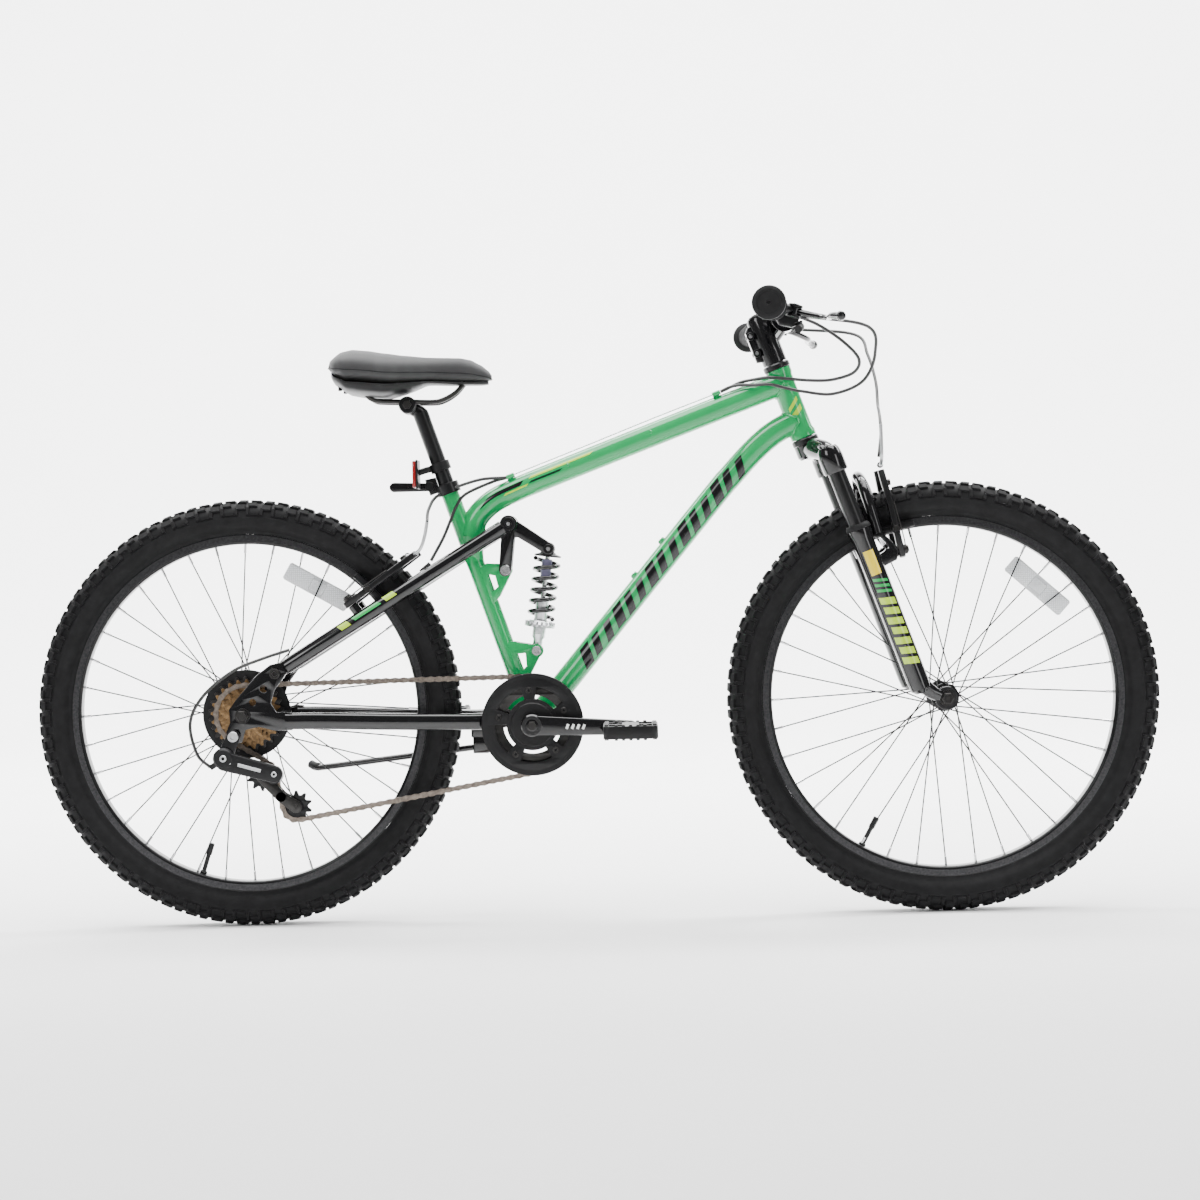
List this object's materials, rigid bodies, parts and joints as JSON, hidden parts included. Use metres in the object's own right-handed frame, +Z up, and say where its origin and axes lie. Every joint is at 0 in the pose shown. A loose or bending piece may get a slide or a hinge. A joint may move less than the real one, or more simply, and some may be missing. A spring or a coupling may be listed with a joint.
{
  "type": "mountain bike",
  "caption": "Full-suspension mountain bike with a green tube frame, black swingarm and coil shock, suspension fork, spoked wheels, rim brakes, derailleur gears and a padded saddle",
  "frame": {"origin": "on the ground midway between the axles, in the plane of the wheels", "axes": "+X forward, +Y to the rider's left, +Z up"},
  "size_m": [1.62, 0.5922, 0.8805],
  "materials": {
    "green_paint": "gloss green enamel on steel tube",
    "black_paint": "gloss black enamel on steel",
    "black_alloy": "satin black alloy",
    "black_steel": "satin black steel",
    "bright_steel": "bright plated steel",
    "silver_alloy": "plain machined alloy",
    "bronze_steel": "bronze-brown steel sprockets",
    "chain_steel": "oiled brownish steel",
    "black_plastic": "black moulded plastic",
    "cable_casing": "black plastic casing",
    "tyre_rubber": "black tyre rubber",
    "grip_rubber": "black soft rubber",
    "saddle_cover": "matte black stitched cover over foam",
    "clear_prism": "clear prismatic plastic",
    "red_prism": "red prismatic plastic"
  },
  "bodies": {
    "frame": {"main_frame": "green_paint", "upper_headset_cup": "black_steel", "lower_headset_cup": "black_steel", "bottom_bracket": "black_steel", "seat_clamp": "black_alloy", "rocker_pivot_bolt": "bright_steel", "rear_brake_cable": "cable_casing", "gear_cable": "cable_casing"},
    "saddle": {"seat_post": "black_paint", "saddle_base": "black_plastic", "saddle_pad": "saddle_cover", "rear_reflector": "red_prism"},
    "clamp_lever": {"seat_clamp_lever": "black_alloy"},
    "steering": {"fork_crown": "black_paint", "stem": "black_alloy", "handlebar": "black_paint", "grip_right": "grip_rubber", "grip_left": "grip_rubber", "brake_perch_right": "black_alloy", "brake_perch_left": "black_alloy", "shifter_pod": "black_plastic", "front_brake_cable": "cable_casing"},
    "right_brake_lever": {"brake_lever_right": "black_alloy"},
    "left_brake_lever": {"brake_lever_left": "black_alloy"},
    "shift_lever": {"shifter_lever": "black_plastic"},
    "fork_slider": {"fork_lowers": "black_paint", "front_axle": "bright_steel"},
    "front_wheel": {"front_tyre": "tyre_rubber", "front_rim": "black_alloy", "front_spokes": "black_steel", "front_hub": "black_alloy", "front_wheel_reflector": "clear_prism"},
    "front_arm_right": {"front_brake_arm_right": "black_alloy"},
    "front_arm_left": {"front_brake_arm_left": "black_alloy"},
    "swingarm": {"swingarm": "black_paint", "main_pivot_bolt": "bright_steel", "rear_axle": "bright_steel", "chain": "chain_steel", "rear_derailleur": "black_plastic"},
    "rear_wheel": {"rear_tyre": "tyre_rubber", "rear_rim": "black_alloy", "rear_spokes": "black_steel", "rear_hub": "black_alloy", "rear_wheel_reflector": "clear_prism"},
    "freewheel": {"freewheel": "bronze_steel"},
    "guide_pulley": {"guide_pulley": "black_plastic"},
    "tension_pulley": {"tension_pulley": "black_plastic"},
    "stays": {"seatstays": "black_paint"},
    "rear_arm_right": {"rear_brake_arm_right": "black_alloy"},
    "rear_arm_left": {"rear_brake_arm_left": "black_alloy"},
    "rocker": {"rocker": "black_paint"},
    "shock": {"shock_body": "silver_alloy", "shock_spring": "black_steel"},
    "shock_rod": {"shock_shaft": "black_steel"},
    "cranks": {"crank_right": "black_paint", "crank_left": "black_paint", "chainring": "black_plastic"},
    "right_pedal": {"pedal_right": "black_plastic"},
    "left_pedal": {"pedal_left": "black_plastic"},
    "kickstand": {"kickstand_leg": "black_paint"}
  },
  "joints": [
    {"name": "seat_height", "type": "slide", "parent": "frame", "child": "saddle", "axis": [-0.3197, 0, 0.9475], "range_m": [-0.003, 0.055]},
    {"name": "clamp_lever_turn", "type": "hinge", "parent": "frame", "child": "clamp_lever", "pos_m": [-0.229, 0.028, 0.63], "axis": [0.3197, 0, -0.9475], "range_deg": [0, 170]},
    {"name": "steer", "type": "hinge", "parent": "frame", "child": "steering", "pos_m": [0.312, 0, 0.6855], "axis": [-0.3387, 0, 0.9409], "range_deg": [-60, 60], "deforming": ["rear_brake_cable", "gear_cable"]},
    {"name": "right_lever_pull", "type": "hinge", "parent": "steering", "child": "right_brake_lever", "pos_m": [0.29289, -0.142, 0.85503], "axis": [-0.279, 0, -0.9603], "range_deg": [0, 25], "stiffness_Nm_per_rad": 0.8, "springref_deg": -8.59},
    {"name": "left_lever_pull", "type": "hinge", "parent": "steering", "child": "left_brake_lever", "pos_m": [0.29289, 0.142, 0.85503], "axis": [0.279, 0, 0.9603], "range_deg": [0, 25], "stiffness_Nm_per_rad": 0.8, "springref_deg": -8.59},
    {"name": "shift_push", "type": "hinge", "parent": "steering", "child": "shift_lever", "pos_m": [0.29851, -0.108, 0.83752], "axis": [-0.3387, 0, 0.9409], "range_deg": [0, 20], "stiffness_Nm_per_rad": 0.1, "springref_deg": -5.73},
    {"name": "fork_travel", "type": "slide", "parent": "steering", "child": "fork_slider", "axis": [-0.3387, 0, 0.9409], "range_m": [0, 0.05], "stiffness_N_per_m": 6000, "deforming": ["front_brake_cable"]},
    {"name": "front_wheel_spin", "type": "hinge", "parent": "fork_slider", "child": "front_wheel", "pos_m": [0.501, 0, 0.309], "axis": [0, 1, 0], "continuous": true},
    {"name": "front_arm_right_swing", "type": "hinge", "parent": "fork_slider", "child": "front_arm_right", "pos_m": [0.43774, -0.04, 0.51927], "axis": [-0.977, 0, -0.213], "range_deg": [0, 3]},
    {"name": "front_arm_left_swing", "type": "hinge", "parent": "fork_slider", "child": "front_arm_left", "pos_m": [0.43774, 0.04, 0.51927], "axis": [0.977, 0, 0.213], "range_deg": [0, 3]},
    {"name": "swing", "type": "hinge", "parent": "frame", "child": "swingarm", "pos_m": [-0.129, 0, 0.295], "axis": [0, 1, 0], "range_deg": [0, 4.3], "stiffness_Nm_per_rad": 4000},
    {"name": "rear_wheel_spin", "type": "hinge", "parent": "swingarm", "child": "rear_wheel", "pos_m": [-0.501, 0, 0.309], "axis": [0, 1, 0], "continuous": true},
    {"name": "freewheel_spin", "type": "hinge", "parent": "swingarm", "child": "freewheel", "pos_m": [-0.501, 0, 0.309], "axis": [0, 1, 0], "continuous": true},
    {"name": "guide_pulley_spin", "type": "hinge", "parent": "swingarm", "child": "guide_pulley", "pos_m": [-0.479, -0.045, 0.221], "axis": [0, 1, 0], "continuous": true},
    {"name": "tension_pulley_spin", "type": "hinge", "parent": "swingarm", "child": "tension_pulley", "pos_m": [-0.431, -0.045, 0.1755], "axis": [0, 1, 0], "continuous": true},
    {"name": "stay_swing", "type": "hinge", "parent": "swingarm", "child": "stays", "pos_m": [-0.453, 0, 0.368], "axis": [0, 1, 0], "range_deg": [0, 0.8]},
    {"name": "rear_arm_right_swing", "type": "hinge", "parent": "stays", "child": "rear_arm_right", "pos_m": [-0.3425, -0.04, 0.4625], "axis": [-0.5782, 0, 0.8159], "range_deg": [0, 3]},
    {"name": "rear_arm_left_swing", "type": "hinge", "parent": "stays", "child": "rear_arm_left", "pos_m": [-0.3425, 0.04, 0.4625], "axis": [0.5782, 0, -0.8159], "range_deg": [0, 3]},
    {"name": "rocker_swing", "type": "hinge", "parent": "frame", "child": "rocker", "pos_m": [-0.123, 0, 0.5065], "axis": [0, 1, 0], "range_deg": [0, 20.5]},
    {"name": "shock_tilt", "type": "hinge", "parent": "frame", "child": "shock", "pos_m": [-0.081, 0, 0.389], "axis": [0, 1, 0], "range_deg": [0, 4.6]},
    {"name": "shock_stroke", "type": "slide", "parent": "shock", "child": "shock_rod", "axis": [-0.1419, 0, -0.9899], "range_m": [0, 0.022], "deforming": ["shock_spring"]},
    {"name": "crank_spin", "type": "hinge", "parent": "frame", "child": "cranks", "pos_m": [-0.088, 0, 0.2855], "axis": [0, 1, 0], "continuous": true},
    {"name": "right_pedal_spin", "type": "hinge", "parent": "cranks", "child": "right_pedal", "pos_m": [0.05187, -0.126, 0.27939], "axis": [0, 1, 0], "continuous": true},
    {"name": "left_pedal_spin", "type": "hinge", "parent": "cranks", "child": "left_pedal", "pos_m": [-0.22787, 0.126, 0.29161], "axis": [0, 1, 0], "continuous": true},
    {"name": "kickstand_drop", "type": "hinge", "parent": "swingarm", "child": "kickstand", "pos_m": [-0.168, 0.05, 0.247], "axis": [0, -1, 0], "range_deg": [0, 90]}
  ],
  "couplings": [
    {"joint": "front_arm_right_swing", "follows": "left_lever_pull", "ratio": 0.12},
    {"joint": "front_arm_left_swing", "follows": "left_lever_pull", "ratio": 0.12},
    {"joint": "rear_arm_right_swing", "follows": "right_lever_pull", "ratio": 0.115},
    {"joint": "rear_arm_left_swing", "follows": "right_lever_pull", "ratio": 0.115},
    {"joint": "stay_swing", "follows": "swing", "ratio": 0.17},
    {"joint": "rocker_swing", "follows": "swing", "ratio": 4.75},
    {"joint": "shock_tilt", "follows": "swing", "ratio": 1.05},
    {"joint": "shock_stroke", "follows": "swing", "m_per_rad": 0.2922},
    {"joint": "freewheel_spin", "follows": "crank_spin", "ratio": 1.619},
    {"joint": "guide_pulley_spin", "follows": "crank_spin", "ratio": -3.4},
    {"joint": "tension_pulley_spin", "follows": "crank_spin", "ratio": 3.4}
  ]
}
